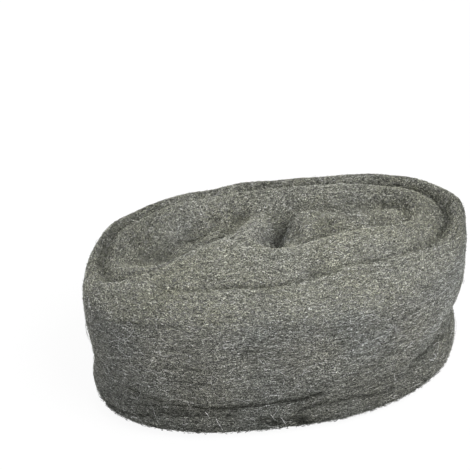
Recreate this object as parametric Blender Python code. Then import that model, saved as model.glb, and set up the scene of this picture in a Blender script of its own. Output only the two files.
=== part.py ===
"""A steel wool pad: one ribbon of steel wool wound into a flattened oval that stands on its edge.

The pad is one closed solid. Its skin is one grid: the columns are stations round the oval and
the rows run from the folded centre, across the coiled top, over the rim, down the wall and back
under the foot to the centre of the base. The rows of the top and the base follow the winding
instead of lying in rings, so each crease between two turns is an edge of the mesh: a row that
ends one turn of the ribbon meets the row that starts the next. Metres, +Z up, origin at the
middle of the base.
"""

import math

import bmesh
import bpy
from mathutils import Vector, noise

# Way in from the outline to the fold line that the ribbon is wound round, seen from above
WAY_IN_FRONT = 0.0520
WAY_IN_BACK = 0.0274
WAY_IN_ENDS = 0.0412
FOLD_LINE_LENGTH = 0.0480

# Winding: turns from the loose end, and the share of the way in that the ribbon has gone by then
TURNS = 3
LOOSE_END_ANGLE = math.radians(218)  # where the outer end feathers out, 0 at +X, 90 degrees at +Y
WINDING = (
    (0.00, 0.000),
    (0.05, 0.220),
    (0.10, 0.270),
    (0.15, 0.255),
    (0.20, 0.335),
    (0.26, 0.315),
    (0.31, 0.265),
    (0.36, 0.225),
    (0.41, 0.165),
    (0.48, 0.140),
    (0.56, 0.110),
    (0.65, 0.090),
    (0.76, 0.080),
    (0.86, 0.085),
    (0.91, 0.120),
    (0.95, 0.190),
    (0.98, 0.320),
    (1.00, 0.500),
    (1.02, 0.710),
    (1.05, 0.780),
    (1.08, 0.755),
    (1.11, 0.700),
    (1.15, 0.690),
    (1.22, 0.735),
    (1.28, 0.755),
    (1.33, 0.710),
    (1.36, 0.600),
    (1.39, 0.490),
    (1.45, 0.450),
    (1.60, 0.470),
    (1.80, 0.520),
    (1.95, 0.720),
    (2.03, 0.870),
    (2.20, 0.900),
    (2.35, 0.920),
    (2.50, 0.950),
    (3.00, 0.975),
)

# Outline of the pad seen from above
SQUARENESS = 2.48  # 2 is an ellipse, more is squarer
LEAN = 0.0090  # how far the back of the outline is pushed to the right of the middle

# Height of the pad, which is the width of the ribbon
RIBBON_WIDTH = 0.0560
RIM_ROUNDING_FRONT = 0.0105
RIM_ROUNDING_BACK = 0.0042
FOOT_ROUNDING = 0.0077

# Creases between the turns
CREASE_DEPTH = 0.0023
DEEP_CREASE_DEPTH = 0.0038
DEEP_CREASE_TURNS = (0.36, 1.50)  # the deep stretch, in turns from the loose end
SHALLOW_CREASE_DEPTH = 0.0006  # of the inner turns, from where the deep stretch ends
CREASE_FADE_TURNS = 0.08
CREASE_HALF_WIDTH = 0.0021
END_FADE_TURNS = 0.12  # creases fade out towards both ends of the ribbon

# Slopes of the coiled top
FRONT_SHOULDER_DROP = 0.0028
FRONT_SHOULDER_WIDTH = 0.0182
DISH_DEPTH = 0.0080
DISH_TURNS = (0.98, 1.95)  # the inner turns sink between these turns from the loose end
TOP_RISE_RIGHT = 0.0008  # the right end of the top lies this much over the middle, the left end under it
RIM_FLARE_RIGHT = 0.0012  # how far the rim leans out at the right end
RIM_FLARE_STARTS = 0.0430

# Turns that stand up out of the top: the ends of each ridge in plan, its height and its reach
FRONT_RIDGE = ((-0.0280, -0.0090), (0.0300, -0.0100))
FRONT_RIDGE_HEIGHT = 0.0015
FRONT_RIDGE_REACH = 0.0060
RIGHT_RIDGE = ((0.0140, 0.0100), (0.0400, 0.0090))
RIGHT_RIDGE_HEIGHT = 0.0058
RIGHT_RIDGE_REACH = 0.0080

# Lumps of the folded centre: the ends of each in plan, its height and its reach
MIDDLE_LUMP = ((-0.0135, 0.0030), (-0.0072, 0.0150))
MIDDLE_LUMP_HEIGHT = 0.0056
MIDDLE_LUMP_REACH = 0.0080
RIGHT_LUMP = ((0.0090, 0.0070), (0.0118, 0.0150))
RIGHT_LUMP_HEIGHT = 0.0045
RIGHT_LUMP_REACH = 0.0056

# Hollows of the top: the dark pocket, the sunk left end, the pit and the slanting crease
POCKET = ((-0.0026, 0.0040), (0.0040, 0.0170))
POCKET_DEPTH = 0.0095
POCKET_HALF_WIDTH = 0.0026
LEFT_HOLLOW = ((-0.0490, 0.0020), (-0.0400, 0.0080))
LEFT_HOLLOW_DEPTH = 0.0030
LEFT_HOLLOW_HALF_WIDTH = 0.0090
PIT = (-0.0270, 0.0165)
PIT_DEPTH = 0.0035
PIT_REACH = 0.0042
SLANT_CREASE = ((-0.0205, 0.0060), (-0.0105, 0.0205))
SLANT_CREASE_DEPTH = 0.0042
SLANT_CREASE_HALF_WIDTH = 0.0029

# Wall: the outer turn rides up and leaves a foot of the turn below it in sight
FLAP_HEIGHT = 0.0150
FLAP_RISE_RIGHT = 0.0014
FLAP_WAVE = 0.0014
FLAP_WAVE_LENGTH = 0.0210
FOOT_INSET_FRONT = 0.0020
FOOT_INSET_RIGHT = 0.0012
FOOT_INSET_LEFT = 0.0006
GROOVE_DEPTH = 0.0018
GROOVE_DEPTH_LEFT = 0.0003  # at the left end, where the flap lies close
GROOVE_HALF_WIDTH = 0.0020
WALL_BULGE = 0.0007
WALL_TAPER_RIGHT = 0.0046  # how far the flap draws in towards its lower edge at each end
WALL_TAPER_LEFT = 0.0019
TAPER_STARTS = 0.0420

# Base: each turn is pressed flat where it stands
BASE_CREASE_DEPTH = 0.0008

# Unevenness of the loose fibres: soft lumps all over, and long level bands round the wall
LUMP_HEIGHT = 0.0010
LUMP_LENGTH = 0.0140
LUMP_SHIFTS = ((0.3, 0.7, 0.2), (17.3, 5.1, 9.7), (3.9, 23.7, 31.1))  # in lump lengths, for X, Y and Z
BAND_HEIGHT = 0.0006
BAND_LENGTH = 0.0420
BAND_WIDTH = 0.0070

# Stations and rows of the skin
STATIONS = 104
TOP_ROWS_PER_TURN = 7
BASE_ROWS_PER_TURN = 3
CENTRE_ROWS = 2
BASE_CENTRE_ROWS = 1
RIM_ROWS = 3
UPPER_WALL_ROWS = 5
FLAP_ROWS = 4
FOOT_ROWS = 3
WELD_DISTANCE = 1e-6
FOLD_SOFTENING_REACH = 0.0060  # heights this near the fold line are evened out
FOLD_SOFTENING_PASSES = 3

# Worked out from the sizes above
HALF_DEPTH = (WAY_IN_FRONT + WAY_IN_BACK) / 2
HALF_LENGTH = WAY_IN_ENDS + FOLD_LINE_LENGTH / 2
CENTRE_SET_BACK = (WAY_IN_FRONT - WAY_IN_BACK) / 2
FOLD_LINE = ((-FOLD_LINE_LENGTH / 2, CENTRE_SET_BACK), (FOLD_LINE_LENGTH / 2, CENTRE_SET_BACK))
FRONT_ENDS_Y = -0.2 * HALF_DEPTH
BACK_STARTS_Y = 0.5 * HALF_DEPTH
RIM_TURNOVER = math.radians(45)  # the wall ends and the top starts halfway round the rim
QUARTER_TURN = math.radians(90)
TOP_WOUND_ROWS = (TURNS + 1) * TOP_ROWS_PER_TURN
BASE_WOUND_ROWS = (TURNS + 1) * BASE_ROWS_PER_TURN
TOP_ROWS = TOP_WOUND_ROWS + CENTRE_ROWS
WALL_ROWS = RIM_ROWS + UPPER_WALL_ROWS + FLAP_ROWS + FOOT_ROWS
BASE_ROWS = BASE_WOUND_ROWS + BASE_CENTRE_ROWS


def clear_scene():
    """Remove every object of the open scene."""
    for obj in list(bpy.data.objects):
        bpy.data.objects.remove(obj, do_unlink=True)


def ease(value, start, end):
    """0 before start, 1 after end, and a smooth step between them."""
    share = min(max((value - start) / (end - start), 0.0), 1.0)
    return share * share * (3 - 2 * share)


def hill(distance, reach):
    """1 on the spot, falling smoothly to nothing a little past the reach."""
    return math.exp(-((distance / reach) ** 2))


def distance_to_spot(x, y, spot):
    """Distance in plan between two points."""
    return math.hypot(x - spot[0], y - spot[1])


def distance_to_line(x, y, start, end):
    """Distance in plan from a point to the straight line between two others."""
    along = Vector((end[0] - start[0], end[1] - start[1]))
    offset = Vector((x - start[0], y - start[1]))
    share = min(max(offset.dot(along) / along.length_squared, 0.0), 1.0)
    return (offset - share * along).length


def station_angle(column):
    """Angle of a column, counted from the loose end."""
    first = round(LOOSE_END_ANGLE / (2 * math.pi) * STATIONS)
    return 2 * math.pi * ((first + column) % STATIONS) / STATIONS


def whole_way_in(angle):
    """Distance in plan from the outline to the fold line at this angle."""
    sine = math.sin(angle)
    side = WAY_IN_FRONT if sine < 0 else WAY_IN_BACK
    return WAY_IN_ENDS + (side - WAY_IN_ENDS) * sine * sine


def way_in(wound):
    """Share of the way in that the ribbon has gone after this many turns, read off a smooth curve."""
    last = len(WINDING) - 1
    index = max(number for number in range(last) if WINDING[number][0] <= wound)
    (start, low), (end, high) = WINDING[index], WINDING[index + 1]
    before, after = WINDING[max(index - 1, 0)], WINDING[min(index + 2, last)]
    share = (wound - start) / (end - start)
    rise_in = (high - before[1]) / (end - before[0]) * (end - start)
    rise_out = (after[1] - low) / (after[0] - start) * (end - start)
    return (
        low * (1 + 2 * share) * (1 - share) ** 2
        + rise_in * share * (1 - share) ** 2
        + high * share**2 * (3 - 2 * share)
        - rise_out * share**2 * (1 - share)
    )


def wound_inset(angle, wound):
    """How far in from the outline the ribbon lies at this angle once it has been wound this many turns."""
    return whole_way_in(angle) * way_in(min(max(wound, 0.0), TURNS))


def turns_at(angle, inset):
    """How many turns have been wound at this angle and this far in from the outline."""
    first = (angle - LOOSE_END_ANGLE) / (2 * math.pi) % 1
    marks = [(0.0, 0.0)]
    marks += [(first + turn, wound_inset(angle, first + turn)) for turn in range(TURNS)]
    marks.append((TURNS, whole_way_in(angle)))
    for (turns, start), (next_turns, end) in zip(marks, marks[1:]):
        if start <= inset < end:
            return turns + (next_turns - turns) * (inset - start) / (end - start)
    return TURNS


def rim_rounding(angle):
    """Radius of the rim, which is crisp behind and soft in front."""
    return RIM_ROUNDING_BACK + (RIM_ROUNDING_FRONT - RIM_ROUNDING_BACK) * ease(-math.sin(angle), -0.4, 0.8)


def plan_point(angle, inset):
    """Point in plan at this angle and inset from the outline. The turns flatten towards the centre."""
    share = min(inset / whole_way_in(angle), 1.0)
    squareness = SQUARENESS + (2 - SQUARENESS) * share
    cosine, sine = math.cos(angle), math.sin(angle)
    across = math.copysign(abs(cosine) ** (2 / squareness), cosine)
    back = math.copysign(abs(sine) ** (2 / squareness), sine)
    half_length = HALF_LENGTH + (FOLD_LINE_LENGTH / 2 - HALF_LENGTH) * share
    x = half_length * across + LEAN * (1 - share) * back
    return x, HALF_DEPTH * (1 - share) * back + CENTRE_SET_BACK * share * share


def turn_row_inset(column, row, rows_per_turn):
    """Inset of a row of the winding at a column. The rows of each turn crowd towards its creases."""
    turn, across = divmod(row, rows_per_turn)
    angle = station_angle(column)
    outer = wound_inset(angle, column / STATIONS + turn - 1)
    inner = wound_inset(angle, column / STATIONS + turn)
    share = across / rows_per_turn
    crowded = (share + (1 - math.cos(math.pi * share)) / 2) / 2
    return outer + (inner - outer) * crowded


def centre_row_inset(angle, share):
    """Inset of a row of the folded centre, from the last turn at share 0 to the fold line at share 1."""
    wound = wound_inset(angle, TURNS)
    return wound + (whole_way_in(angle) - wound) * share


def squeeze(angle, inset, edge):
    """Inset of a row of the winding once the rounded edge takes its room from it."""
    return edge + inset * (1 - edge / whole_way_in(angle))


def past(wound, turns):
    """0 before this many turns from the loose end and 1 after them, with a short fade between."""
    return ease(wound, turns - CREASE_FADE_TURNS, turns + CREASE_FADE_TURNS)


def crease_depth(wound):
    """Depth of the crease at this many turns from the loose end."""
    deep_from, deep_to = DEEP_CREASE_TURNS
    depth = CREASE_DEPTH
    depth += (DEEP_CREASE_DEPTH - depth) * past(wound, deep_from)
    depth += (SHALLOW_CREASE_DEPTH - depth) * past(wound, deep_to)
    return depth * ease(wound, 0, END_FADE_TURNS) * (1 - ease(wound, TURNS - END_FADE_TURNS, TURNS))


def crease_drop(column, inset):
    """How far the creases near this inset pull the top down at a column. None reaches the fold line."""
    angle = station_angle(column)
    drop = 0.0
    for turn in range(TURNS):
        wound = column / STATIONS + turn
        drop = max(drop, crease_depth(wound) * hill(inset - wound_inset(angle, wound), CREASE_HALF_WIDTH))
    return drop * (1 - hill(whole_way_in(angle) - inset, CREASE_HALF_WIDTH))


def shoulder_drop(y, inset):
    """How far the front shoulder lies under the rim behind it."""
    in_front = 1 - ease(y, FRONT_ENDS_Y, BACK_STARTS_Y)
    return FRONT_SHOULDER_DROP * in_front * (1 - ease(inset, RIM_ROUNDING_FRONT / 2, FRONT_SHOULDER_WIDTH))


def dish_depth(angle, inset):
    """How far the inner turns have sunk under the outer one."""
    return DISH_DEPTH * ease(turns_at(angle, inset), *DISH_TURNS)


def fold_height(x, y):
    """Ridges and lumps of the top, as a height to add to it."""
    return (
        FRONT_RIDGE_HEIGHT * hill(distance_to_line(x, y, *FRONT_RIDGE), FRONT_RIDGE_REACH)
        + RIGHT_RIDGE_HEIGHT * hill(distance_to_line(x, y, *RIGHT_RIDGE), RIGHT_RIDGE_REACH)
        + MIDDLE_LUMP_HEIGHT * hill(distance_to_line(x, y, *MIDDLE_LUMP), MIDDLE_LUMP_REACH)
        + RIGHT_LUMP_HEIGHT * hill(distance_to_line(x, y, *RIGHT_LUMP), RIGHT_LUMP_REACH)
    )


def hollow_depth(x, y):
    """Pocket, sunk end, pit and slanting crease, as a depth to take off the top."""
    return (
        POCKET_DEPTH * hill(distance_to_line(x, y, *POCKET), POCKET_HALF_WIDTH)
        + LEFT_HOLLOW_DEPTH * hill(distance_to_line(x, y, *LEFT_HOLLOW), LEFT_HOLLOW_HALF_WIDTH)
        + PIT_DEPTH * hill(distance_to_spot(x, y, PIT), PIT_REACH)
        + SLANT_CREASE_DEPTH * hill(distance_to_line(x, y, *SLANT_CREASE), SLANT_CREASE_HALF_WIDTH)
    )


def top_point(column, row):
    """A point of the coiled top. Rows count inwards from the rim."""
    angle = station_angle(column)
    if row < TOP_WOUND_ROWS:
        wound_in = turn_row_inset(column, row, TOP_ROWS_PER_TURN)
    else:
        wound_in = centre_row_inset(angle, (row - TOP_WOUND_ROWS) / CENTRE_ROWS)
    rounding = rim_rounding(angle)
    inset = squeeze(angle, wound_in, rounding * (1 - math.cos(RIM_TURNOVER)))
    x, y = plan_point(angle, inset)
    drop = rounding - math.sqrt(rounding**2 - max(rounding - inset, 0.0) ** 2)
    drop += crease_drop(column, wound_in) + dish_depth(angle, wound_in) + shoulder_drop(y, inset)
    return Vector((x, y, RIBBON_WIDTH - drop - hollow_depth(x, y) + fold_height(x, y)))


def rim_profile(rounding):
    """Inset and height of each row from the middle of the rounded rim down to the wall."""
    for step in range(RIM_ROWS):
        turn = RIM_TURNOVER * (1 - step / RIM_ROWS)
        yield rounding * (1 - math.cos(turn)), RIBBON_WIDTH - rounding * (1 - math.sin(turn))


def foot_inset(angle):
    """How far the foot stands back from the outline at this angle."""
    cosine = math.cos(angle)
    at_ends = FOOT_INSET_RIGHT * ease(cosine, 0.3, 1) + FOOT_INSET_LEFT * ease(-cosine, 0.3, 1)
    return at_ends + FOOT_INSET_FRONT * ease(-math.sin(angle), 0, 0.9)


def wall_taper(angle):
    """How far the wall draws in by the lower edge of its flap at this angle."""
    cosine = math.cos(angle)
    return WALL_TAPER_RIGHT * ease(cosine, 0.3, 1) + WALL_TAPER_LEFT * ease(-cosine, 0.3, 1)


def side_profile(angle, wall_top, flap):
    """Inset and height of each row of the wall and of the groove under its flap."""
    lip = flap + 2 * GROOVE_HALF_WIDTH
    taper = wall_taper(angle)
    groove = GROOVE_DEPTH + (GROOVE_DEPTH_LEFT - GROOVE_DEPTH) * ease(-math.cos(angle), 0.3, 1)
    for step in range(UPPER_WALL_ROWS):
        share = step / UPPER_WALL_ROWS
        height = wall_top + (lip - wall_top) * share
        drawn_in = taper * (1 - ease(height, flap, TAPER_STARTS))
        yield drawn_in - WALL_BULGE * math.sin(math.pi * share), height
    for step in range(FLAP_ROWS):
        height = lip + (FOOT_ROUNDING - lip) * step / FLAP_ROWS
        under = 1 - ease(height, flap - GROOVE_HALF_WIDTH, flap + GROOVE_HALF_WIDTH)
        inset = taper * (1 - ease(height, flap, TAPER_STARTS)) * (1 - under) + foot_inset(angle) * under
        yield inset + groove * hill(height - flap, GROOVE_HALF_WIDTH), height


def foot_profile(angle):
    """Inset and height of each row of the rounded foot, down to just above the ground."""
    for step in range(FOOT_ROWS):
        turn = QUARTER_TURN * step / FOOT_ROWS
        yield foot_inset(angle) + FOOT_ROUNDING * (1 - math.cos(turn)), FOOT_ROUNDING * (1 - math.sin(turn))


def wall_point(column, row):
    """A point of the wall. Rows count down from the middle of the rim."""
    angle = station_angle(column)
    wall_top = RIBBON_WIDTH - rim_rounding(angle)
    flap = FLAP_HEIGHT + FLAP_RISE_RIGHT * ease(math.cos(angle), 0, 1)
    flap += FLAP_WAVE * noise.noise(Vector((*plan_point(angle, 0), 0)) / FLAP_WAVE_LENGTH)
    rim = rim_profile(rim_rounding(angle))
    profile = [*rim, *side_profile(angle, wall_top, flap), *foot_profile(angle)]
    inset, height = profile[row]
    x, y = plan_point(angle, inset)
    rim_inset, rim_height = profile[0]
    rim_y = plan_point(angle, rim_inset)[1]
    drop = shoulder_drop(rim_y, rim_inset) * ease(height, RIBBON_WIDTH / 2, rim_height)
    return Vector((x, y, height - drop))


def base_point(column, row):
    """A point of the base. Rows count inwards from the foot. The middle of each turn is on the ground."""
    angle = station_angle(column)
    lift = 0.0
    if row < BASE_WOUND_ROWS:
        inset = turn_row_inset(column, row, BASE_ROWS_PER_TURN)
        if row % BASE_ROWS_PER_TURN == 0:
            outer = column / STATIONS + row // BASE_ROWS_PER_TURN - 1
            lift = BASE_CREASE_DEPTH * ease(outer, 0, END_FADE_TURNS) * (1 - ease(outer, TURNS - 1, TURNS))
    else:
        inset = centre_row_inset(angle, (row - BASE_WOUND_ROWS) / BASE_CENTRE_ROWS)
    x, y = plan_point(angle, squeeze(angle, inset, foot_inset(angle) + FOOT_ROUNDING))
    return Vector((x, y, lift))


def skin_point(column, row):
    """A point of the whole skin. Rows run from the centre of the top to the centre of the base."""
    if row < TOP_ROWS:
        return top_point(column, TOP_ROWS - row)
    if row < TOP_ROWS + WALL_ROWS:
        return wall_point(column, row - TOP_ROWS)
    return base_point(column, row - TOP_ROWS - WALL_ROWS)


def leaned(place):
    """A point of the skin with the slope of the top and the flare of the right end worked in."""
    rise = TOP_RISE_RIGHT * place.x / HALF_LENGTH * ease(place.z, RIBBON_WIDTH / 3, RIBBON_WIDTH)
    flare = ease(place.x, HALF_LENGTH / 2, HALF_LENGTH) * ease(place.z, RIM_FLARE_STARTS, RIBBON_WIDTH)
    return place + Vector((RIM_FLARE_RIGHT * flare, 0, rise))


def loosened(place):
    """A point of the skin pushed about a little, as loose fibres are, unless it stands on the ground."""
    outwards = Vector((place.x / HALF_LENGTH, place.y / HALF_DEPTH, 0))
    banded = Vector((place.x / BAND_LENGTH, place.y / BAND_LENGTH, place.z / BAND_WIDTH))
    push = LUMP_HEIGHT * Vector([noise.noise(place / LUMP_LENGTH + Vector(shift)) for shift in LUMP_SHIFTS])
    push += BAND_HEIGHT * noise.noise(banded) * outwards
    return place + push * ease(place.z, 0, FOOT_ROUNDING)


def soften_fold(mesh):
    """Even out the heights of the top close to the fold line, where the rows of both sides meet."""
    near = [
        vertex
        for vertex in mesh.verts
        if vertex.co.z > RIBBON_WIDTH / 2
        and distance_to_line(vertex.co.x, vertex.co.y, *FOLD_LINE) < FOLD_SOFTENING_REACH
    ]
    for _ in range(FOLD_SOFTENING_PASSES):
        bmesh.ops.smooth_vert(mesh, verts=near, factor=0.5, use_axis_z=True)


def centre_on_origin(mesh):
    """Move the mesh so that the middle of its plan is over the origin."""
    for axis in range(2):
        places = [vertex.co[axis] for vertex in mesh.verts]
        middle = (min(places) + max(places)) / 2
        for vertex in mesh.verts:
            vertex.co[axis] -= middle


def make_pad():
    """Lay the grid of the skin over the pad's form, sew its seams and return the object."""
    rows = TOP_ROWS + WALL_ROWS + BASE_ROWS
    mesh = bmesh.new()
    bmesh.ops.create_grid(mesh, x_segments=STATIONS, y_segments=rows, size=1)
    for vertex in mesh.verts:
        column = round((vertex.co.x + 1) / 2 * STATIONS)
        row = round((vertex.co.y + 1) / 2 * rows)
        vertex.co = loosened(leaned(skin_point(column, row)))
    bmesh.ops.remove_doubles(mesh, verts=mesh.verts, dist=WELD_DISTANCE)
    soften_fold(mesh)
    bmesh.ops.recalc_face_normals(mesh, faces=mesh.faces)
    centre_on_origin(mesh)
    data = bpy.data.meshes.new("steel_wool_pad")
    mesh.to_mesh(data)
    mesh.free()
    data.shade_smooth()
    return bpy.data.objects.new("steel_wool_pad", data)


def steel_wool_material():
    """Grey of fine steel fibres seen from a step away."""
    material = bpy.data.materials.new("steel_wool")
    material.use_nodes = True
    shader = material.node_tree.nodes["Principled BSDF"]
    shader.inputs["Base Color"].default_value = (0.16, 0.16, 0.145, 1)
    shader.inputs["Metallic"].default_value = 0.35
    shader.inputs["Roughness"].default_value = 0.75
    return material


def main():
    """Build the pad in its own collection."""
    clear_scene()
    collection = bpy.data.collections.new("steel_wool_pad")
    bpy.context.scene.collection.children.link(collection)
    pad = make_pad()
    pad.data.materials.append(steel_wool_material())
    collection.objects.link(pad)


if __name__ == "__main__":
    main()
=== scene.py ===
"""Dressed model of a steel wool pad: coats of fine steel fibres over the wound pad, on a white floor.

Metres, +Z up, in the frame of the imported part: +X along the pad's length, +Y from front to back. The body
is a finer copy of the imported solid, and the fibres are laid over it along the winding of the ribbon.
"""

import logging
import math
from dataclasses import dataclass
from enum import Enum
from functools import cached_property

import bmesh
import bpy
import numpy as np
from mathutils import Euler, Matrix, Vector, kdtree, noise
from mathutils.bvhtree import BVHTree


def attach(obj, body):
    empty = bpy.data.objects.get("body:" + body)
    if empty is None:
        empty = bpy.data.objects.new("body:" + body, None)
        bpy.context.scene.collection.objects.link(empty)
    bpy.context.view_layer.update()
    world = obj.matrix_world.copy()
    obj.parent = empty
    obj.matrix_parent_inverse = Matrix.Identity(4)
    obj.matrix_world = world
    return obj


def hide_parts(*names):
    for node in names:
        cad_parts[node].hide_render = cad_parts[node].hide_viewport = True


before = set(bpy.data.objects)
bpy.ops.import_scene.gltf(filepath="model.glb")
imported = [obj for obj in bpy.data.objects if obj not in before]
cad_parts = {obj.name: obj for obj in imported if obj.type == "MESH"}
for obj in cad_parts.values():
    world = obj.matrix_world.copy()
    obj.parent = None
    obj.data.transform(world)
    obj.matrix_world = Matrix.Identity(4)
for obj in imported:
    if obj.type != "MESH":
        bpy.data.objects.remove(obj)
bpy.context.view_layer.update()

NODE = "steel_wool_pad"
BODY = "root"
BAKE_MAP = "OFBake"

# Attributes that the meshes carry
TONE = "tone"
GRAIN = "grain"
HOLLOW = "hollow"

Span = tuple[float, float]
Pixel = tuple[float, float]
Point = tuple[float, float, float]
Colour = tuple[float, float, float]
Socket = bpy.types.NodeSocket
log = logging.getLogger(NODE)


class Zone(Enum):
    """Part of the pad's surface that a coat of fibres covers."""

    WALL = "wall"
    TOP = "top"
    BASE = "base"


def ease(values: np.ndarray, start: float, end: float) -> np.ndarray:
    """Smooth step.

    Args:
        values: The numbers to ease.
        start: Where the step starts.
        end: Where the step ends.

    Returns:
        0 before the start, 1 after the end and a smooth step between them.
    """
    share = np.clip((values - start) / (end - start), 0, 1)
    return share * share * (3 - 2 * share)


def signed_power(values: np.ndarray, power: np.ndarray) -> np.ndarray:
    """Raise numbers to a power, each with its sign kept."""
    return np.sign(values) * np.abs(values) ** power


def unit(vectors: np.ndarray) -> np.ndarray:
    """Scale vectors along the last axis to length 1."""
    shortest = 1e-12
    return vectors / np.maximum(np.linalg.norm(vectors, axis=-1, keepdims=True), shortest)


def wander(along: np.ndarray, across: np.ndarray, size: Span, layer: int) -> np.ndarray:
    """Smooth noise over the winding's chart.

    Args:
        along: Length along the ribbon of each point.
        across: Way across the ribbon of each point.
        size: Length of the noise's forms along and across the ribbon.
        layer: Which layer of the noise to read.

    Returns:
        The noise at each point, about -0.5 to 0.5.
    """
    layer_gap = 0.37
    places = np.column_stack([along / size[0], across / size[1], np.full(len(along), layer * layer_gap)])
    return np.array([noise.noise(place) for place in places.tolist()])


def read_points(mesh: bpy.types.Mesh) -> tuple[np.ndarray, np.ndarray]:
    """Read the places and normals of a mesh's points.

    Args:
        mesh: The mesh.

    Returns:
        The places and the normals, a row for each point.
    """
    points, normals = np.empty(len(mesh.vertices) * 3), np.empty(len(mesh.vertices) * 3)
    mesh.vertices.foreach_get("co", points)
    mesh.vertices.foreach_get("normal", normals)
    return points.reshape(-1, 3), normals.reshape(-1, 3)


def hollows(mesh: bpy.types.Mesh, smoothings: int) -> np.ndarray:
    """How far each point of a mesh lies under the surface round it.

    Args:
        mesh: The mesh.
        smoothings: How often the surface is smoothed to compare with.

    Returns:
        The depth in metres, below 0 on a ridge.
    """
    points, normals = read_points(mesh)
    edges = np.empty(len(mesh.edges) * 2, np.int32)
    mesh.edges.foreach_get("vertices", edges)
    first, second = edges.reshape(-1, 2).T
    degree = np.bincount(edges, minlength=len(points))[:, None]
    smooth = points.copy()
    for _ in range(smoothings):
        total = np.zeros_like(smooth)
        np.add.at(total, first, smooth[second])
        np.add.at(total, second, smooth[first])
        smooth = total / degree
    return np.sum((smooth - points) * normals, axis=1)


def add_object(name: str, data: bpy.types.ID) -> bpy.types.Object:
    """Put a new object in the scene.

    Args:
        name: Its name.
        data: Its mesh, lamp or camera.

    Returns:
        The object.
    """
    thing = bpy.data.objects.new(name, data)
    bpy.context.scene.collection.objects.link(thing)
    return thing


@dataclass(frozen=True)
class Winding:
    """Plan of the wound ribbon: level curves that run in from the pad's outline to its fold line.

    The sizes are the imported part's own, and the grid is fine enough for the fibres to follow the turns.
    """

    half_length: float = 0.0652
    half_depth: float = 0.0397
    fold_half_length: float = 0.0240
    set_back: float = 0.0123
    squareness: float = 2.48
    lean: float = 0.0090
    seam: float = math.radians(218)
    mean_radius: float = 0.05
    stations: int = 360
    rings: int = 90
    innermost: float = 0.97
    turn_step: float = 1e-3

    def places(self, angles: np.ndarray, shares: np.ndarray) -> np.ndarray:
        """Points in plan.

        Args:
            angles: Angle of each point round the pad.
            shares: 0 on the outline, 1 on the fold line.

        Returns:
            The points, with x and y along the last axis.
        """
        power = 2 / (self.squareness + (2 - self.squareness) * shares)
        across = signed_power(np.cos(angles), power)
        back = signed_power(np.sin(angles), power)
        half_length = self.half_length + (self.fold_half_length - self.half_length) * shares
        x = half_length * across + self.lean * (1 - shares) * back
        y = self.half_depth * (1 - shares) * back + self.set_back * shares**2
        return np.stack([x, y], -1)

    def chart(self, points: np.ndarray) -> tuple[np.ndarray, np.ndarray, np.ndarray]:
        """Where points lie in the winding.

        Args:
            points: Points in space.

        Returns:
            The direction of the winding in plan, the length along the ribbon, and the way across it, which
            runs from the foot up the wall and on over the top.
        """
        tree, ahead, along, inset = self._grid
        nearest = np.array([tree.find((x, y, 0))[1] for x, y, _ in points.tolist()])
        return ahead[nearest], along[nearest], inset[nearest] + points[:, 2]

    @cached_property
    def _grid(self) -> tuple[kdtree.KDTree, np.ndarray, np.ndarray, np.ndarray]:
        """Lay a grid over the plan.

        Returns:
            A tree of its places, and for each place the winding's direction, the way along and the inset.
        """
        angles = np.linspace(0, 2 * math.pi, self.stations, endpoint=False)
        shares = np.linspace(0, self.innermost, self.rings)
        turned, shares = (grid.ravel() for grid in np.meshgrid(angles, shares))
        places = self.places(self.seam + turned, shares)
        ahead = self.places(self.seam + turned + self.turn_step, shares) - places
        tree = kdtree.KDTree(len(places))
        for index, (x, y) in enumerate(places.tolist()):
            tree.insert((x, y, 0), index)
        tree.balance()
        return tree, unit(ahead), turned * self.mean_radius, shares * self.half_depth


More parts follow.
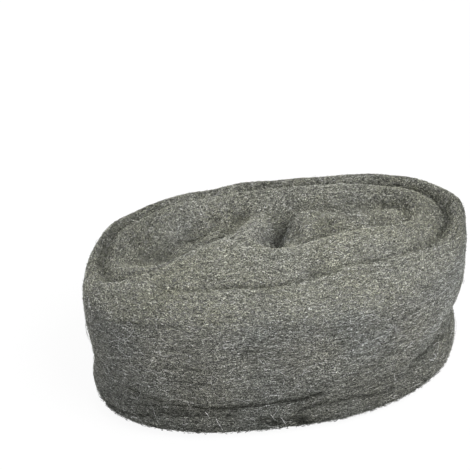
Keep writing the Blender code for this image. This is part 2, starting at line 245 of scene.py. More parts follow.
@dataclass
class Surface:
    """Triangles of the pad's body, with the direction of the winding on each."""

    body: bpy.types.Object
    winding: Winding
    top_slope: Span = (0.30, 0.75)
    base_slope: Span = (0.45, 0.85)

    def __post_init__(self) -> None:
        """Read the triangles, their normals and areas, and the way of the winding over them."""
        mesh = self.body.data
        mesh.calc_loop_triangles()
        self.points, _ = read_points(mesh)
        corners = np.empty(len(mesh.loop_triangles) * 3, np.int32)
        mesh.loop_triangles.foreach_get("vertices", corners)
        self.triangles = corners.reshape(-1, 3)
        a, b, c = (self.points[self.triangles[:, corner]] for corner in range(3))
        cross = np.cross(b - a, c - a)
        self.areas = np.linalg.norm(cross, axis=1) / 2
        self.normals = unit(cross)
        self.centres = (a + b + c) / 3
        ahead, _, _ = self.winding.chart(self.centres)
        flow = np.column_stack([ahead, np.zeros(len(ahead))])
        flow -= self.normals * np.sum(flow * self.normals, axis=1, keepdims=True)
        self.flow = unit(flow)
        hollow = np.empty(len(self.points))
        mesh.attributes[HOLLOW].data.foreach_get("value", hollow)
        self.hollow = hollow[self.triangles].mean(1)
        self.tree = BVHTree.FromPolygons(self.points.tolist(), self.triangles.tolist(), all_triangles=True)

    def zone_share(self, zone: Zone) -> np.ndarray:
        """How far each triangle belongs to a zone.

        Args:
            zone: The zone.

        Returns:
            A share from 0 to 1 for each triangle.
        """
        top = ease(self.normals[:, 2], *self.top_slope)
        base = ease(-self.normals[:, 2], *self.base_slope)
        return {Zone.TOP: top, Zone.BASE: base, Zone.WALL: 1 - top - base}[zone]

    def scatter(
        self, zone: Zone, heights: Span, count: int, rng: np.random.Generator
    ) -> tuple[np.ndarray, np.ndarray]:
        """Random points of a zone.

        Args:
            zone: The zone to cover.
            heights: Lowest and highest place of the points above the floor.
            count: How many points.
            rng: Source of the random numbers.

        Returns:
            The triangle of each point, and the points.
        """
        inside = (self.centres[:, 2] >= heights[0]) & (self.centres[:, 2] <= heights[1])
        weights = self.areas * self.zone_share(zone) * inside
        chosen = rng.choice(len(weights), count, p=weights / weights.sum())
        first, second = rng.random((2, count, 1))
        over = first + second > 1
        first, second = np.where(over, 1 - first, first), np.where(over, 1 - second, second)
        a, b, c = (self.points[self.triangles[chosen, corner]] for corner in range(3))
        return chosen, a + (b - a) * first + (c - a) * second

    def settle(self, points: np.ndarray) -> tuple[np.ndarray, np.ndarray]:
        """Nearest places on the surface.

        Args:
            points: Points near the surface.

        Returns:
            The triangle of each nearest place, and the places.
        """
        found = [self.tree.find_nearest(point) for point in points.tolist()]
        return np.array([hit[2] for hit in found]), np.array([hit[0] for hit in found])


@dataclass(frozen=True)
class NodeTree:
    """Short way to write the shader nodes of a material or of the surround."""

    tree: bpy.types.ShaderNodeTree

    @property
    def shader(self) -> bpy.types.Node:
        """The material's Principled shader."""
        return self.tree.nodes["Principled BSDF"]

    @property
    def output(self) -> bpy.types.Node:
        """The material's output."""
        return self.tree.nodes["Material Output"]

    def add(self, kind: str, **settings: object) -> bpy.types.Node:
        """Add a node.

        Args:
            kind: The node's type.
            settings: Values of the node's properties.

        Returns:
            The new node.
        """
        node = self.tree.nodes.new(kind)
        for name, value in settings.items():
            setattr(node, name, value)
        return node

    def join(self, source: Socket, target: Socket) -> None:
        """Link an output to an input."""
        self.tree.links.new(source, target)

    def noise(self, vector: Socket, scale: float, detail: float = 2) -> Socket:
        """Add a noise texture.

        Args:
            vector: Where the noise reads its place from.
            scale: Its scale.
            detail: Its detail.

        Returns:
            The noise from 0 to 1.
        """
        node = self.add("ShaderNodeTexNoise")
        node.inputs["Scale"].default_value = scale
        node.inputs["Detail"].default_value = detail
        self.join(vector, node.inputs["Vector"])
        return node.outputs["Fac"]

    def ramp(self, factor: Socket, stops: tuple[float, ...], colours: tuple[Colour, ...]) -> Socket:
        """Add a colour ramp.

        Args:
            factor: What drives the ramp.
            stops: Position of each stop.
            colours: Colour at each stop.

        Returns:
            The ramp's colour.
        """
        node = self.add("ShaderNodeValToRGB")
        elements = node.color_ramp.elements
        while len(elements) < len(stops):
            elements.new(stops[1])
        for element, position, colour in zip(elements, stops, colours):
            element.position = position
            element.color = (*colour, 1)
        self.join(factor, node.inputs["Fac"])
        return node.outputs["Color"]

    def remap(self, factor: Socket, source: Span, target: Span) -> Socket:
        """Map one range of numbers to another.

        Args:
            factor: The number to map.
            source: The range that it comes from.
            target: The range that it goes to.

        Returns:
            The mapped number.
        """
        node = self.add("ShaderNodeMapRange")
        node.inputs["From Min"].default_value, node.inputs["From Max"].default_value = source
        node.inputs["To Min"].default_value, node.inputs["To Max"].default_value = target
        self.join(factor, node.inputs["Value"])
        return node.outputs["Result"]

    def multiply(self, first: Socket, second: Socket, clamp: bool = False) -> Socket:
        """Multiply two colours.

        Args:
            first: The first colour.
            second: The second colour, or a number.
            clamp: Whether the product stays between 0 and 1.

        Returns:
            The product.
        """
        node = self.add("ShaderNodeMix", data_type="RGBA", blend_type="MULTIPLY", clamp_result=clamp)
        node.inputs["Factor"].default_value = 1.0
        self.join(first, node.inputs["A"])
        self.join(second, node.inputs["B"])
        return node.outputs["Result"]

    def seen(self) -> Socket:
        """Tell the rays that show the background from those that light the pad.

        Returns:
            1 for a ray from the camera, off a gloss or through glass, and 0 for any other.
        """
        rays = self.add("ShaderNodeLightPath")
        seen = rays.outputs["Is Camera Ray"]
        for kind in ("Is Transmission Ray", "Is Glossy Ray"):
            either = self.add("ShaderNodeMath", operation="MAXIMUM")
            self.join(seen, either.inputs[0])
            self.join(rays.outputs[kind], either.inputs[1])
            seen = either.outputs["Value"]
        return seen


def new_material(name: str) -> tuple[bpy.types.Material, NodeTree]:
    """Start a material.

    Args:
        name: Its name.

    Returns:
        The material and its nodes.
    """
    material = bpy.data.materials.new(name)
    material.use_nodes = True
    return material, NodeTree(material.node_tree)


@dataclass(frozen=True)
class FibreFinish:
    """Bare steel of the fibres: each has its own tone, the mat drifts from cool to warm grey, and a fine
    noise paints glints and short dark gaps along each fibre.
    """

    name: str
    cool: Colour
    warm: Colour
    dark: Colour = (0.017, 0.018, 0.013)
    middle: Colour = (0.180, 0.183, 0.162)
    bright: Colour = (0.46, 0.46, 0.45)
    drift_scale: float = 45
    drift_stops: Span = (0.35, 0.65)
    painted_glint_scale: float = 3300
    painted_glint_stops: Span = (0.38, 0.66)
    painted_glints: Span = (-0.5, 4.1)
    grain_scale: float = 900
    grain_detail: float = 3
    roughness: Span = (0.38, 0.60)
    metallic: float = 0.55

    def material(self) -> bpy.types.Material:
        """Make the finish.

        Returns:
            The material.
        """
        material, tree = new_material(self.name)
        place = tree.add("ShaderNodeTexCoord").outputs["Object"]
        tone = tree.add("ShaderNodeAttribute", attribute_name=TONE).outputs["Fac"]
        steel = tree.ramp(tone, (0.0, 0.5, 1.0), (self.dark, self.middle, self.bright))
        tint = tree.ramp(tree.noise(place, self.drift_scale), self.drift_stops, (self.cool, self.warm))
        # Painted glints: a fine noise brightens short dashes of each fibre, and its low end darkens the
        # gaps between them as painted shade.
        painted_glints = tree.remap(tree.noise(place, self.painted_glint_scale), self.painted_glint_stops, self.painted_glints)
        colour = tree.multiply(tree.multiply(steel, tint), painted_glints, clamp=True)
        tree.join(colour, tree.shader.inputs["Base Color"])
        grain = tree.noise(place, self.grain_scale, self.grain_detail)
        tree.join(tree.remap(grain, (0, 1), self.roughness), tree.shader.inputs["Roughness"])
        tree.shader.inputs["Metallic"].default_value = self.metallic
        return material


@dataclass(frozen=True)
class MatFinish:
    """Deeper fibres of the mat, seen between those on top: dark streaks along the winding, partly painted
    shade of the gaps between fibres.
    """

    name: str = "steel_mat"
    dark: Colour = (0.010, 0.010, 0.009)
    middle: Colour = (0.11, 0.11, 0.10)
    bright: Colour = (0.34, 0.34, 0.31)
    streak_stops: tuple[float, float, float] = (0.38, 0.54, 0.70)
    streak_scale: Point = (1300, 3000, 1)
    streak_detail: float = 4
    bump_strength: float = 0.6
    bump_height: float = 0.0002
    metallic: float = 0.3
    roughness: float = 0.65

    def material(self) -> bpy.types.Material:
        """Make the finish.

        Returns:
            The material.
        """
        material, tree = new_material(self.name)
        stretched = tree.add("ShaderNodeMapping")
        stretched.inputs["Scale"].default_value = self.streak_scale
        chart = tree.add("ShaderNodeAttribute", attribute_name=GRAIN).outputs["Vector"]
        tree.join(chart, stretched.inputs["Vector"])
        streaks = tree.noise(stretched.outputs["Vector"], 1, self.streak_detail)
        # The streaks' dark end is painted shade in the gaps between fibres; the same noise drives the bump.
        colour = tree.ramp(streaks, self.streak_stops, (self.dark, self.middle, self.bright))
        tree.join(colour, tree.shader.inputs["Base Color"])
        bump = tree.add("ShaderNodeBump")
        bump.inputs["Strength"].default_value = self.bump_strength
        bump.inputs["Distance"].default_value = self.bump_height
        tree.join(streaks, bump.inputs["Height"])
        tree.join(bump.outputs["Normal"], tree.shader.inputs["Normal"])
        tree.shader.inputs["Metallic"].default_value = self.metallic
        tree.shader.inputs["Roughness"].default_value = self.roughness
        return material


@dataclass(frozen=True)
class FloorFinish:
    """White floor: it looks nearly as bright as the backdrop, with the pad's shadow kept faint."""

    name: str = "white_floor"
    colour: Colour = (0.50, 0.50, 0.50)
    roughness: float = 0.9
    glow: float = 1.06
    glow_share: float = 0.88

    def material(self) -> bpy.types.Material:
        """Make the finish.

        Returns:
            The material.
        """
        material, tree = new_material(self.name)
        tree.shader.inputs["Base Color"].default_value = (*self.colour, 1)
        tree.shader.inputs["Roughness"].default_value = self.roughness
        tree.shader.inputs["Specular IOR Level"].default_value = 0.0
        share = tree.add("ShaderNodeMath", operation="MULTIPLY")
        share.inputs[1].default_value = self.glow_share
        tree.join(tree.seen(), share.inputs[0])
        glow = tree.add("ShaderNodeEmission")
        glow.inputs["Strength"].default_value = self.glow
        mix = tree.add("ShaderNodeMixShader")
        tree.join(share.outputs["Value"], mix.inputs["Fac"])
        tree.join(tree.shader.outputs["BSDF"], mix.inputs[1])
        tree.join(glow.outputs["Emission"], mix.inputs[2])
        tree.join(mix.outputs["Shader"], tree.output.inputs["Surface"])
        return material


@dataclass(frozen=True)
class WoolBody:
    """Body of the pad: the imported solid's form, made finer and roughened into clumps of fibres."""

    name: str = "wool_body"
    levels: int = 1
    weld: float = 1e-7
    pair_bend: float = 0.7
    pair_skew: float = 1.2
    smoothings: int = 24
    valley_fill: float = 0.72
    valley_start: float = 0.0004
    clump_height: float = 0.00030
    clump_size: Span = (0.0030, 0.0012)
    clump_start: Span = (0.0005, 0.0040)
    sink: float = 0.00012
    softness: float = 0.5

    def build(self, winding: Winding) -> bpy.types.Object:
        """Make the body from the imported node's mesh.

        Args:
            winding: The plan of the wound ribbon.

        Returns:
            The body.
        """
        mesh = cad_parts[NODE].data.copy()
        mesh.materials.clear()
        self._to_quads(mesh)
        body = add_object(self.name, mesh)
        finer = body.modifiers.new("finer", "SUBSURF")
        finer.levels = finer.render_levels = self.levels
        evaluated = body.evaluated_get(bpy.context.evaluated_depsgraph_get())
        body.data = bpy.data.meshes.new_from_object(evaluated)
        body.modifiers.clear()
        body.data.name = self.name
        self._roughen(body.data, winding)
        body.data.shade_smooth()
        return body

    def dress(self, body: bpy.types.Object) -> None:
        """Give the body its finish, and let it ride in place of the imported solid.

        Args:
            body: The body.
        """
        body.data.materials.append(MatFinish().material())
        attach(body, BODY)
        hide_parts(NODE)

    def _to_quads(self, mesh: bpy.types.Mesh) -> None:
        """Weld the mesh and join its triangles in pairs.

        Args:
            mesh: The mesh to change.
        """
        work = bmesh.new()
        work.from_mesh(mesh)
        bmesh.ops.remove_doubles(work, verts=work.verts, dist=self.weld)
        bend, skew = self.pair_bend, self.pair_skew
        bmesh.ops.join_triangles(
            work, faces=work.faces, angle_face_threshold=bend, angle_shape_threshold=skew
        )
        work.to_mesh(mesh)
        work.free()

    def _roughen(self, mesh: bpy.types.Mesh, winding: Winding) -> None:
        """Fill the valleys in part and raise clumps along the winding; keep the chart and the hollows.

        Args:
            mesh: The mesh to change.
            winding: The plan of the wound ribbon.
        """
        points, normals = read_points(mesh)
        hollow = hollows(mesh, self.smoothings)
        points += normals * (self.valley_fill * np.maximum(hollow - self.valley_start, 0))[:, None]
        _, along, across = winding.chart(points)
        clumps = wander(along, across, self.clump_size, 0)
        off_floor = ease(points[:, 2], *self.clump_start)
        points += normals * ((self.clump_height * clumps - self.sink) * off_floor)[:, None]
        points[:, 2] = np.maximum(points[:, 2], 0)
        mesh.vertices.foreach_set("co", points.ravel())
        chart = np.column_stack([along, across, np.zeros(len(points))])
        mesh.attributes.new(HOLLOW, "FLOAT", "POINT").data.foreach_set("value", hollow)
        mesh.attributes.new(GRAIN, "FLOAT_VECTOR", "POINT").data.foreach_set("vector", chart.ravel())
        mesh.update()


@dataclass(frozen=True)
class PhotoCamera:
    """The camera, which looks down at the pad's front; its image is a square."""

    place: Point = (-0.056287, -0.37093, 0.301014)
    turn: Point = (0.99186, 0.02158, -0.12532)
    lens: float = 101.937
    sensor: float = 36.0
    image_size: float = 470.0

    def build(self) -> None:
        """Make the camera and let the scene use it."""
        data = bpy.data.cameras.new("camera")
        data.lens, data.sensor_width = self.lens, self.sensor
        camera = add_object("camera", data)
        camera.location, camera.rotation_euler = self.place, Euler(self.turn)
        bpy.context.scene.camera = camera

    def trace(self, surface: Surface, pixels: tuple[Pixel, ...], proud: float) -> np.ndarray:
        """Places on the pad behind pixels of the image.

        Args:
            surface: The pad's surface.
            pixels: Pixels from the image's upper left corner.
            proud: How far the places stand off the surface.

        Returns:
            The places, without those of pixels that miss the pad.
        """
        places = []
        for x, y in pixels:
            across, up = x / self.image_size - 0.5, 0.5 - y / self.image_size
            way = Vector((across * self.sensor, up * self.sensor, -self.lens))
            way.rotate(Euler(self.turn))
            hit, normal, _, _ = surface.tree.ray_cast(Vector(self.place), way.normalized())
            if hit:
                places.append(hit + normal * proud)
        return np.array(places)


@dataclass(frozen=True)
class PaintedShadingPatch:
    """Round patch of painted shade on the mat or, with a tone below 0, of painted light."""

    name: str
    place: Point
    reach: float
    tone: float

    def shade(self, places: np.ndarray) -> np.ndarray:
        """How much painted shade the patch gives each of these places, below 0 for painted light."""
        return self.tone * np.exp(-((places - self.place) ** 2).sum(-1) / self.reach**2)


@dataclass(frozen=True)
class PaintedShadingLine:
    """Line of painted shade on the mat, along a crease, seam, flap or parting of the fibres or under a
    tuft, or of painted light where its tone is below 0.

    It is given by the photograph's pixels that it runs through.
    """

    name: str
    tone: float
    width: float
    pixels: tuple[Pixel, ...]

    def shade(self, corners: np.ndarray, places: np.ndarray) -> np.ndarray:
        """How much painted shade the line gives places.

        Args:
            corners: The line's corners on the pad.
            places: The places.

        Returns:
            The loss of tone at each place.
        """
        nearest = np.full(places.shape[:-1], np.inf)
        for start, end in zip(corners, corners[1:]):
            way = end - start
            share = np.clip((places - start) @ way / (way @ way), 0, 1)
            gap = np.linalg.norm(places - start - share[..., None] * way, axis=-1)
            nearest = np.minimum(nearest, gap)
        return self.tone * np.exp(-((nearest / self.width) ** 2))


@dataclass
class MatTone:
    """Tone of the mat from place to place, with painted shade and painted light.

    Fibres carry painted shade where strands part, in hollows and near the floor at the foot, and painted
    light on ridges, and they vary at random from clump to clump. The patches and lines are painted shade,
    or painted light where their tone is below 0.
    Patches and lines are the places that the photograph shows darker or brighter than that.
    """

    camera: PhotoCamera
    surface: Surface
    patches: tuple[PaintedShadingPatch, ...]
    lines: tuple[PaintedShadingLine, ...]
    proud: float = 0.00015
    clump_tone: float = 0.08
    clump_size: Span = (0.0060, 0.0006)
    painted_parting_shade: float = 0.24
    strand_size: Span = (0.0150, 0.0011)
    strand_width: float = 0.032
    painted_hollow_shade: float = 0.08
    hollow_depth: float = 0.0007
    ridge_limit: float = -0.35
    painted_foot_shade: float = 0.18
    foot_height: float = 0.034

    def __post_init__(self) -> None:
        """Trace the lines on the pad."""
        self.corners = [self.camera.trace(self.surface, line.pixels, self.proud) for line in self.lines]

    def shade(self, places: np.ndarray, triangles: np.ndarray, layer: int) -> np.ndarray:
        """How much darker the mat makes its fibres: the clumps' own tone, with painted shade and painted
        light.

        Args:
            places: The places, with x, y and z along the last axis.
            triangles: The surface's triangle under each place.
            layer: Which layer of the clumps to read.

        Returns:
            The loss of tone at each place, below 0 where the clumps or painted light make the mat brighter.
        """
        _, along, across = self.surface.winding.chart(places.reshape(-1, 3))
        clumps = wander(along, across, self.clump_size, layer).reshape(triangles.shape)
        parting = wander(along, across, self.strand_size, 0).reshape(triangles.shape)
        # Painted shade in hollows and painted light on ridges, painted shade where strands part and near
        # the floor at the foot, then the painted patches and lines; the clumps are the fibres' own random
        # tone.
        depth = np.clip(self.surface.hollow[triangles] / self.hollow_depth, self.ridge_limit, 1)
        shade = self.painted_hollow_shade * depth - self.clump_tone * clumps
        shade += self.painted_parting_shade * np.exp(-((parting / self.strand_width) ** 2))
        shade += self.painted_foot_shade * (1 - ease(places[..., 2], 0, self.foot_height))
        shade += sum(patch.shade(places) for patch in self.patches)
        return shade + sum(line.shade(at, places) for line, at in zip(self.lines, self.corners))


@dataclass
class FibreCoat:
    """One coat of steel fibres: thin three-sided shavings that lie along the winding.

    Lengths, radii and lifts are the least and the most of the coat's fibres. The spread is how far they
    point off the winding and the curl how far they bend, both in radians. A loose fibre ends in the air.
    A tone runs from 0, dark, to 1, bright, and one above 1 stays bright where the mat's painted shade would
    darken it.
    """

    name: str
    zone: Zone
    count: int
    seed: int
    radius: Span
    lift: Span
    tone: float
    length: Span = (0.0, 0.0)
    spread: float = 0.0
    curl: float = 0.0
    wobble: float = 0.4
    arch_power: float = 0.7
    twist: float = 0.5
    nodes: int = 3
    sink: float = 0.00015
    loose: bool = False
    heights: Span = (0.0, 1.0)
    tone_spread: float = 0.13

    def build(self, surface: Surface, mat: MatTone) -> bpy.types.Object:
        """Grow the coat over the surface.

        Args:
            surface: The pad's surface.
            mat: The tone of the mat from place to place.

        Returns:
            The coat as one object.
        """
        rng = np.random.default_rng(self.seed)
        paths, normals, triangles = self._trace(surface, rng)
        tones = self.tone + rng.normal(0, self.tone_spread, len(paths))
        # The mat's shade, most of it painted shade, comes off each fibre's tone.
        tones = np.clip(tones[:, None] - mat.shade(paths, triangles, self.seed), 0, 1)
        shavings = self._shavings(paths, normals, rng)
        return add_object(self.name, self._mesh(shavings, tones))

    def dress(self, coat: bpy.types.Object, material: bpy.types.Material) -> None:
        """Give the coat its finish and let it ride with the pad.

        Args:
            coat: The coat.
            material: Its finish.
        """
        coat.data.materials.append(material)
        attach(coat, BODY)

    def _trace(
        self, surface: Surface, rng: np.random.Generator
    ) -> tuple[np.ndarray, np.ndarray, np.ndarray]:
        """Lead each fibre over the surface from its root.

        Args:
            surface: The pad's surface.
            rng: Source of the random numbers.

        Returns:
            The points of each fibre, the normals there and the triangles there.
        """
        chosen, roots = surface.scatter(self.zone, self.heights, self.count, rng)
        count = len(roots)
        step = rng.uniform(*self.length, count)[:, None] / (self.nodes - 1)
        turn = rng.normal(0, self.spread, count) + math.pi * rng.integers(0, 2, count)
        bend = rng.normal(0, self.curl, count)
        lift = rng.uniform(*self.lift, count)
        on_skin, triangles = [roots], [chosen]
        for _ in range(self.nodes - 1):
            normal, flow = surface.normals[triangles[-1]], surface.flow[triangles[-1]]
            ahead = np.cos(turn)[:, None] * flow + np.sin(turn)[:, None] * np.cross(normal, flow)
            found, places = surface.settle(on_skin[-1] + ahead * step)
            on_skin.append(places)
            triangles.append(found)
            turn = turn + bend + rng.normal(0, self.curl * self.wobble, count)
        on_skin, triangles = np.stack(on_skin, 1), np.stack(triangles, 1)
        normals = surface.normals[triangles]
        last = math.pi / 2 if self.loose else math.pi
        arch = np.sin(np.linspace(0, last, self.nodes)) ** self.arch_power
        heights = lift[:, None] * arch - self.sink * (1 - arch)
        paths = on_skin + normals * heights[:, :, None]
        paths[..., 2] = np.maximum(paths[..., 2], self.radius[1])
        return paths, normals, triangles

    def _shavings(self, paths: np.ndarray, normals: np.ndarray, rng: np.random.Generator) -> np.ndarray:
        """Thicken the paths into three-sided shavings that taper to a point at both ends.

        Args:
            paths: The points of each fibre.
            normals: The surface's normals there.
            rng: Source of the random numbers.

        Returns:
            The points of each shaving: its start, three round each inner point of its path, and its end.
        """
        count, nodes = paths.shape[:2]
        ahead = unit(np.gradient(paths, axis=1))
        side = unit(np.cross(ahead, normals))
        out = np.cross(side, ahead)
        radius = rng.uniform(*self.radius, count)[:, None, None]
        roll = rng.uniform(0, 2 * math.pi, count)[:, None]
        twist = rng.normal(0, self.twist, count)[:, None] * np.arange(1, nodes - 1)
        rings = []
        for corner in range(3):
            angle = (roll + twist + corner * 2 * math.pi / 3)[:, :, None]
            way = np.cos(angle) * side[:, 1:-1] + np.sin(angle) * out[:, 1:-1]
            rings.append(paths[:, 1:-1] + radius * way)
        ringed = np.stack(rings, 2).reshape(count, -1, 3)
        return np.concatenate([paths[:, :1], ringed, paths[:, -1:]], 1)

    def _mesh(self, points: np.ndarray, tones: np.ndarray) -> bpy.types.Mesh:
        """Join the shavings' points into one mesh, with a patch of the map and the tones for each.

        Args:
            points: The points of each shaving.
            tones: The tone at each point of each path.

        Returns:
            The mesh of all the shavings.
        """
        count, each = points.shape[:2]
        corners, chart = self._pattern()
        loops = (corners.ravel()[None] + np.arange(count)[:, None] * each).ravel()
        mesh = bpy.data.meshes.new(self.name)
        mesh.vertices.add(count * each)
        mesh.vertices.foreach_set("co", points.ravel())
        mesh.loops.add(len(loops))
        mesh.loops.foreach_set("vertex_index", loops.astype(np.int32))
        mesh.polygons.add(len(loops) // 3)
        mesh.polygons.foreach_set("loop_start", np.arange(0, len(loops), 3, dtype=np.int32))
        mesh.update(calc_edges=True)
        cells = math.ceil(math.sqrt(count))
        cell = np.stack(np.divmod(np.arange(count), cells), -1)[:, None]
        margin = 0.1
        spots = (cell + margin + (1 - 2 * margin) * chart.reshape(-1, 2)[None]) / cells
        mesh.uv_layers.new(name=BAKE_MAP).data.foreach_set("uv", spots.ravel())
        shades = np.concatenate([tones[:, :1], np.repeat(tones[:, 1:-1], 3, axis=1), tones[:, -1:]], 1)
        mesh.attributes.new(TONE, "FLOAT", "POINT").data.foreach_set("value", shades.ravel())
        mesh.validate()
        return mesh

    def _pattern(self) -> tuple[np.ndarray, np.ndarray]:
        """Triangles of one shaving and their places on its own patch of the map.

        Returns:
            The point numbers of each triangle, and the place of each corner on the patch.
        """
        corners, chart = [], []
        ways = np.linspace(0, 1, self.nodes).tolist()
        tip, gap = 1 + 3 * (self.nodes - 2), 0.02
        for left in range(3):
            right = (left + 1) % 3
            low, high, middle = left / 3 + gap, (left + 1) / 3 - gap, (left + 0.5) / 3
            corners.append((0, 1 + left, 1 + right))
            chart.append(((0, middle), (ways[1], low), (ways[1], high)))
            for ring in range(self.nodes - 3):
                near, far = 1 + 3 * ring, 4 + 3 * ring
                start, end = ways[ring + 1], ways[ring + 2]
                corners.append((near + left, far + left, far + right))
                corners.append((near + left, far + right, near + right))
                chart.append(((start, low), (end, low), (end, high)))
                chart.append(((start, low), (end, high), (start, high)))
            corners.append((tip - 3 + left, tip, tip - 3 + right))
            chart.append(((ways[-2], low), (1, middle), (ways[-2], high)))
        return np.array(corners), np.array(chart)


@dataclass
class LaidHairs(FibreCoat):
    """Loose hairs whose routes are given, with a bright tone that paints their glint: each lifts off the
    wall on its way.
    """

    camera: PhotoCamera = PhotoCamera()
    routes: tuple[tuple[Pixel, ...], ...] = ()

    def _trace(
        self, surface: Surface, rng: np.random.Generator
    ) -> tuple[np.ndarray, np.ndarray, np.ndarray]:
        """Lead each hair along its route.

        Args:
            surface: The pad's surface.
            rng: Source of the random numbers.

        Returns:
            The points of each hair, the normals there and the triangles there.
        """
        ends = rng.uniform(*self.lift, self.count)
        share = np.linspace(0, 1, self.nodes)
        paths = []
        for route in self.routes:
            corners = self.camera.trace(surface, route, 0.0)
            way = np.linspace(0, 1, len(corners))
            paths.append(np.column_stack([np.interp(share, way, axis) for axis in corners.T]))
        triangles, places = surface.settle(np.concatenate(paths))
        triangles, places = triangles.reshape(-1, self.nodes), places.reshape(-1, self.nodes, 3)
        normals = surface.normals[triangles]
        return places + normals * (ends[:, None] * share)[:, :, None], normals, triangles


@dataclass(frozen=True)
class Lamp:
    """A soft square lamp that shines at the middle of the pad."""

    name: str
    place: Point
    size: float
    power: float
    target: Point = (0, 0, 0.028)

    def build(self) -> None:
        """Make the lamp and turn it to the pad."""
        data = bpy.data.lights.new(self.name, "AREA")
        data.size, data.energy = self.size, self.power
        lamp = add_object(self.name, data)
        lamp.location = self.place
        lamp.rotation_euler = (Vector(self.target) - lamp.location).to_track_quat("-Z", "Y").to_euler()


@dataclass(frozen=True)
class Studio:
    """White floor and surround, the lamps and the camera."""

    camera: PhotoCamera
    floor_size: float = 6.0
    surround: float = 0.62
    lamps: tuple[Lamp, ...] = (
        Lamp("key_lamp", (0.20, -0.27, 0.50), 0.36, 4.1),
        Lamp("back_fill", (-0.12, 0.46, 0.14), 0.36, 1.3),
    )

    def build(self) -> None:
        """Make the floor, the surround, the lamps and the camera."""
        self._lay_floor()
        self._light_surround()
        for lamp in self.lamps:
            lamp.build()
        self.camera.build()
        bpy.context.scene.view_settings.view_transform = "Standard"

    def _lay_floor(self) -> None:
        """Lay the floor that the pad stands on."""
        half = self.floor_size / 2
        corners = [(-half, -half, 0), (half, -half, 0), (half, half, 0), (-half, half, 0)]
        mesh = bpy.data.meshes.new("floor")
        mesh.from_pydata(corners, [], [(0, 1, 2, 3)])
        mesh.materials.append(FloorFinish().material())
        add_object("floor", mesh)

    def _light_surround(self) -> None:
        """Light the surround: white where it is seen, softer where it lights the pad."""
        world = bpy.data.worlds.new("surround")
        world.use_nodes = True
        tree = NodeTree(world.node_tree)
        background = world.node_tree.nodes["Background"]
        background.inputs["Color"].default_value = (1, 1, 1, 1)
        strength = tree.remap(tree.seen(), (0, 1), (self.surround, 1.0))
        tree.join(strength, background.inputs["Strength"])
        bpy.context.scene.world = world


WALL_STEEL = FibreFinish("wall_steel", cool=(0.955, 0.975, 1.0), warm=(1.0, 0.99, 0.96))
TOP_STEEL = FibreFinish("top_steel", cool=(0.985, 0.988, 0.940), warm=(0.998, 0.992, 0.875))

# Painted shade on the top's left end, the back and right rims and the right end of the wall, and painted
# light in the middle of the top.
PAINTED_SHADING_PATCHES = (
    PaintedShadingPatch("left end of the top", (-0.054, 0.006, 0.052), reach=0.015, tone=0.16),
    PaintedShadingPatch("back of the left end", (-0.042, 0.022, 0.052), reach=0.012, tone=0.11),
    PaintedShadingPatch("middle", (-0.008, 0.018, 0.052), reach=0.014, tone=-0.09),
    PaintedShadingPatch("back rim", (0.000, 0.038, 0.054), reach=0.016, tone=0.12),
    PaintedShadingPatch("right of the back rim", (0.045, 0.030, 0.054), reach=0.013, tone=0.12),
    PaintedShadingPatch("right rim", (0.062, 0.012, 0.053), reach=0.013, tone=0.17),
    PaintedShadingPatch("wall at the right end", (0.067, 0.002, 0.040), reach=0.017, tone=0.17),
)
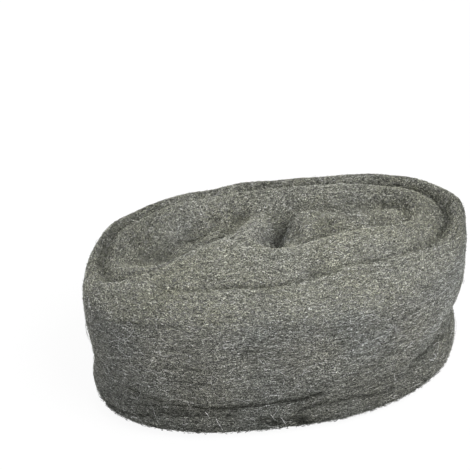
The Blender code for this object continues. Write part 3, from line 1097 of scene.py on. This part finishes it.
# Lines of painted shade along the creases, seams, flaps and partings of the top and wall, and under the
# tufts at the foot.
PAINTED_SHADING_LINES = (
    PaintedShadingLine("left stretch of the front seam", 0.26, 0.0007, (
        (222, 290), (237, 286), (257, 287), (280, 283), (298, 280))),
    PaintedShadingLine("middle of the front seam", 0.20, 0.0008, ((303, 271), (318, 272.5), (337, 271))),
    PaintedShadingLine("right stretch of the front seam", 0.20, 0.0008, ((366, 260), (385, 261), (399, 257))),
    PaintedShadingLine("right end of the front seam", 0.12, 0.0007, ((412, 249), (422, 245), (432, 240))),
    PaintedShadingLine("right seam", 0.18, 0.0007, (
        (398, 186), (425, 193), (440, 202), (447, 214), (446, 226), (438, 238))),
    PaintedShadingLine("back seam", 0.16, 0.0008, ((250, 187), (297, 184.5), (350, 184), (398, 186))),
    PaintedShadingLine("left seam", 0.14, 0.0010, ((117, 222), (106, 240), (100, 254), (100, 266))),
    PaintedShadingLine("edge of the front turn", 0.20, 0.0007, (
        (296, 245), (312, 239), (336, 231), (356, 225), (394, 224))),
    PaintedShadingLine("slant crease", 0.12, 0.0010, ((222, 237), (232, 226), (242, 215), (251, 207))),
    PaintedShadingLine("foot of the middle lump", 0.22, 0.0014, ((190, 243), (207, 241), (222, 238))),
    PaintedShadingLine("pocket", 0.12, 0.0012, ((284, 228), (279, 234), (275, 243))),
    # Painted light: brightens the pocket's left wall, which lies in shade.
    PaintedShadingLine("left wall of the pocket", -0.16, 0.0032, ((256, 236), (266, 242))),
    PaintedShadingLine("flap", 0.50, 0.0006, (
        (128, 387), (137, 392), (145, 395), (155, 398.6), (164, 402), (175, 404.4), (183, 405.6),
        (195, 406.6), (207, 408), (222, 408.5), (235, 407.4), (249, 405.6), (265, 404.4), (276, 402),
        (287, 400.6), (297, 400), (307, 397.4), (317, 394.6), (322, 393.4))),
    PaintedShadingLine("right end of the flap", 0.32, 0.0011, (
        (287, 400), (297, 399.2), (307, 396.6), (317, 393.8))),
    PaintedShadingLine("low flap on the left", 0.46, 0.0006, (
        (108, 402), (115, 408), (125, 412), (137, 415.5), (145, 416), (155, 413.5), (165, 412.6),
        (175, 414.6), (187, 415), (199, 414.6), (215, 415.4), (225, 415), (233, 416))),
    PaintedShadingLine("low flap on the right", 0.44, 0.0006, (
        (300, 410), (317, 405), (355, 397), (383, 393), (394, 387))),
    PaintedShadingLine("tuft at the foot", 0.60, 0.0015, ((265, 420.5), (272, 422), (279, 421.5))),
    PaintedShadingLine("second tuft at the foot", 0.56, 0.0019, ((298, 417), (302, 419.5), (305, 422))),
    PaintedShadingLine("wall on the right", 0.30, 0.0005, (
        (348, 370), (370, 367), (383, 357), (400, 350), (420, 344))),
    PaintedShadingLine("wall on the left", 0.30, 0.0006, ((95, 318), (120, 322), (150, 325), (180, 327))),
    PaintedShadingLine("wall in the middle", 0.30, 0.0005, ((156, 366), (194, 369), (210, 372))),
    PaintedShadingLine("low on the wall", 0.30, 0.0005, ((168, 381), (185, 382), (203, 384))),
    PaintedShadingLine("wall near the right end", 0.30, 0.0006, ((440, 335), (430, 347), (416, 358))),
)
HAIR_ROUTES = (
    ((187, 400.6), (189, 403.4), (191.4, 406.6)),
    ((204.6, 411), (207.4, 413.4), (210, 417)),
    ((216, 417), (217.4, 422), (221, 426), (223, 428.4)),
    ((280, 416), (283.4, 420), (286, 424)),
)

# Fibre radii and lifts that more than one coat has
FINE = (0.00004, 0.00008)
COARSE = (0.00005, 0.00010)
FUZZ = (0.00003, 0.00006)
DEEP = (0.00003, 0.00015)
OUTER = (0.00008, 0.00030)

COATS = (
    FibreCoat(
        "wall_fibres_deep", Zone.WALL, count=33000, seed=11, radius=COARSE, lift=DEEP, tone=0.38,
        length=(0.0040, 0.0090), spread=0.14, curl=0.10),
    FibreCoat(
        "wall_fibres_outer", Zone.WALL, count=33000, seed=12, radius=FINE, lift=OUTER, tone=0.54,
        length=(0.0020, 0.0055), spread=0.32, curl=0.26, tone_spread=0.18),
    FibreCoat(
        "top_fibres_deep", Zone.TOP, count=24000, seed=13, radius=COARSE, lift=DEEP, tone=0.40,
        length=(0.0030, 0.0065), spread=0.42, curl=0.28),
    FibreCoat(
        "top_fibres_outer", Zone.TOP, count=33000, seed=14, radius=FINE, lift=OUTER, tone=0.58,
        length=(0.0016, 0.0045), spread=0.70, curl=0.38, tone_spread=0.18),
    FibreCoat(
        "base_fibres", Zone.BASE, count=8000, seed=15, radius=(0.00007, 0.00013), lift=(0.00002, 0.00015),
        tone=0.45, length=(0.0040, 0.0090), spread=0.45, curl=0.25),
    FibreCoat(
        "wall_fuzz", Zone.WALL, count=4000, seed=16, radius=FUZZ, lift=(0.00020, 0.00070), tone=0.55,
        length=(0.0010, 0.0030), spread=0.90, curl=0.50, loose=True),
    FibreCoat(
        "top_fuzz", Zone.TOP, count=3000, seed=17, radius=FUZZ, lift=(0.00020, 0.00060), tone=0.55,
        length=(0.0010, 0.0030), spread=1.20, curl=0.50, loose=True),
    FibreCoat(
        "stray_fibres", Zone.WALL, count=260, seed=18, radius=(0.00004, 0.00007), lift=(0.00030, 0.00100),
        tone=0.85, length=(0.0060, 0.0150), spread=0.70, curl=0.45, nodes=8, loose=True),
    # Tone above 1: painted glint on these hairs, which stays bright through the painted shade at the foot.
    FibreCoat(
        "foot_hairs", Zone.WALL, count=20, seed=19, radius=(0.00007, 0.00010), lift=(0.00080, 0.00180),
        tone=1.10, length=(0.0030, 0.0060), spread=1.20, curl=0.35, nodes=10, loose=True,
        heights=(0.004, 0.018), tone_spread=0.1),
    FibreCoat(
        "foot_tufts", Zone.WALL, count=1500, seed=20, radius=COARSE, lift=(0.00020, 0.00090), tone=0.36,
        length=(0.0012, 0.0032), spread=0.80, curl=0.90, nodes=4, loose=True, heights=(0.0, 0.005)),
    # Tone 1.5: painted glint on the front hairs, bright through the painted shade of the flaps and the
    # foot.
    LaidHairs(
        "front_hairs", Zone.WALL, count=len(HAIR_ROUTES), seed=21, radius=(0.00010, 0.00012),
        lift=(0.00050, 0.00120), tone=1.50, nodes=8, tone_spread=0.0, routes=HAIR_ROUTES),
)


def main() -> None:
    """Build the pad's pieces in order, then the studio round them."""
    logging.basicConfig(level=logging.INFO, format="%(message)s")
    winding, wool, camera = Winding(), WoolBody(), PhotoCamera()
    body = wool.build(winding)
    wool.dress(body)
    log.info("%s: %d faces", body.name, len(body.data.polygons))
    surface = Surface(body, winding)
    mat = MatTone(camera, surface, PAINTED_SHADING_PATCHES, PAINTED_SHADING_LINES)
    wall_steel, top_steel = WALL_STEEL.material(), TOP_STEEL.material()
    for coat in COATS:
        piece = coat.build(surface, mat)
        coat.dress(piece, top_steel if coat.zone is Zone.TOP else wall_steel)
        log.info("%s: %d fibres, %d faces", piece.name, coat.count, len(piece.data.polygons))
    Studio(camera).build()


if __name__ == "__main__":
    main()
